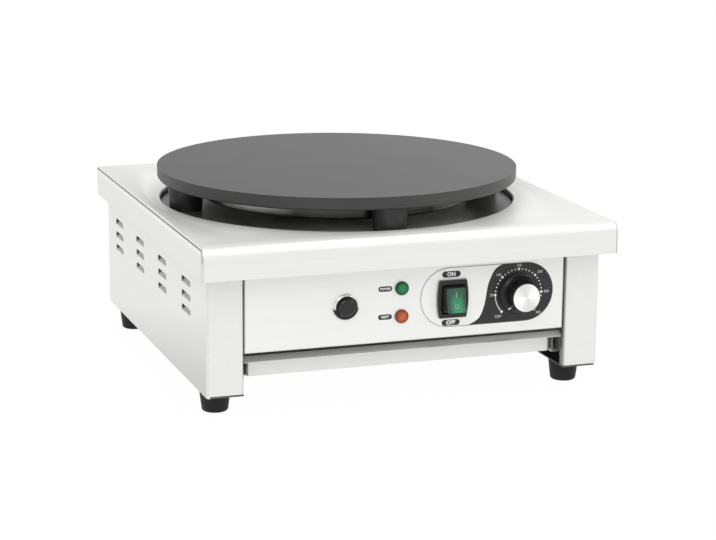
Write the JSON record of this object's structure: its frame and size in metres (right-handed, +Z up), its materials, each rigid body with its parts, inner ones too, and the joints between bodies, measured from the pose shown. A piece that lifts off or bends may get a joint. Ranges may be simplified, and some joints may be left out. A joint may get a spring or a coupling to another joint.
{
  "type": "electric crepe maker",
  "caption": "Countertop electric crepe maker: a thick round griddle on posts over a folded steel body with a dial, lit switch, lamps, reset button and pull-out tray.",
  "frame": {"origin": "on the surface that the feet stand on, under the middle of the cover's outline", "axes": "+Z up, the control panel faces -Y, +X to the right of someone standing at the controls"},
  "size_m": [0.45, 0.47, 0.2142],
  "materials": {
    "stainless": "satin stainless sheet, brushed",
    "bright_steel": "stainless bowl, bright inside and out",
    "inner_steel": "dull galvanised sheet",
    "black_enamel": "black enamel, satin",
    "griddle_iron": "machined and seasoned cast iron, matt",
    "black_post": "black heat-proof paint",
    "zinc_steel": "zinc plated",
    "element_steel": "oxidised tubular element",
    "white_fibre": "white ceramic fibre board",
    "copper": "drawn copper",
    "black_rubber": "matt moulded rubber",
    "black_plastic": "moulded, semi-matt",
    "black_gloss": "moulded, glossy",
    "knob_aluminium": "spun face with fine rings",
    "green_rocker": "translucent green",
    "green_lamp": "translucent green lens",
    "orange_lamp": "translucent orange lens",
    "chrome_ring": "polished",
    "brown_plastic": "heat-proof moulding",
    "gland_plastic": "moulded nylon",
    "white_plastic": "moulded nylon",
    "legend_print": "printed label film, satin"
  },
  "bodies": {
    "base": {"top_cover": "stainless", "side_panel_left": "stainless", "side_panel_right": "stainless", "rear_panel": "stainless", "control_panel": "stainless", "legend_plate": "legend_print", "base_plate": "inner_steel", "cross_beam_front": "inner_steel", "cross_beam_middle": "inner_steel", "cross_beam_rear": "inner_steel", "tray_runner_left": "inner_steel", "tray_runner_right": "inner_steel", "drip_well": "stainless", "well_base": "black_enamel", "heater_bowl": "bright_steel", "griddle_plate": "griddle_iron", "post_front": "black_post", "post_right": "black_post", "post_rear": "black_post", "post_left": "black_post", "post_bolts": "zinc_steel", "bowl_stud": "zinc_steel", "foot_screws": "zinc_steel", "foot_nuts": "zinc_steel", "element_strap": "zinc_steel", "heating_element": "element_steel", "insulation_pad": "white_fibre", "thermostat_bulb": "copper", "foot_front_left": "black_rubber", "foot_front_right": "black_rubber", "foot_rear_left": "black_rubber", "foot_rear_right": "black_rubber", "thermostat_body": "zinc_steel", "switch_bezel": "black_plastic", "switch_body": "black_plastic", "lamp_lens_green": "green_lamp", "lamp_lens_orange": "orange_lamp", "lamp_holder_green": "black_plastic", "lamp_holder_orange": "black_plastic", "reset_ring": "chrome_ring", "limiter_body": "brown_plastic", "cable_gland": "gland_plastic", "gland_nut": "gland_plastic", "terminal_block": "white_plastic"},
    "tray": {"tray": "stainless"},
    "knob": {"knob": "black_plastic", "knob_cap": "knob_aluminium", "thermostat_shaft": "zinc_steel"},
    "rocker": {"rocker": "black_plastic", "rocker_window": "green_rocker"},
    "reset_button": {"reset_button": "black_gloss"}
  },
  "joints": [
    {"name": "tray_slide", "type": "slide", "parent": "base", "child": "tray", "axis": [0, -1, 0], "range_m": [0, 0.3]},
    {"name": "knob_turn", "type": "hinge", "parent": "base", "child": "knob", "pos_m": [0.1232, -0.215, 0.1096], "axis": [0, 1, 0], "range_deg": [0, 270]},
    {"name": "rocker_tilt", "type": "hinge", "parent": "base", "child": "rocker", "pos_m": [0.0487, -0.211, 0.1096], "axis": [1, 0, 0], "range_deg": [0, 16]},
    {"name": "reset_press", "type": "slide", "parent": "base", "child": "reset_button", "axis": [0, 1, 0], "range_m": [0, 0.003], "stiffness_N_per_m": 500}
  ]
}
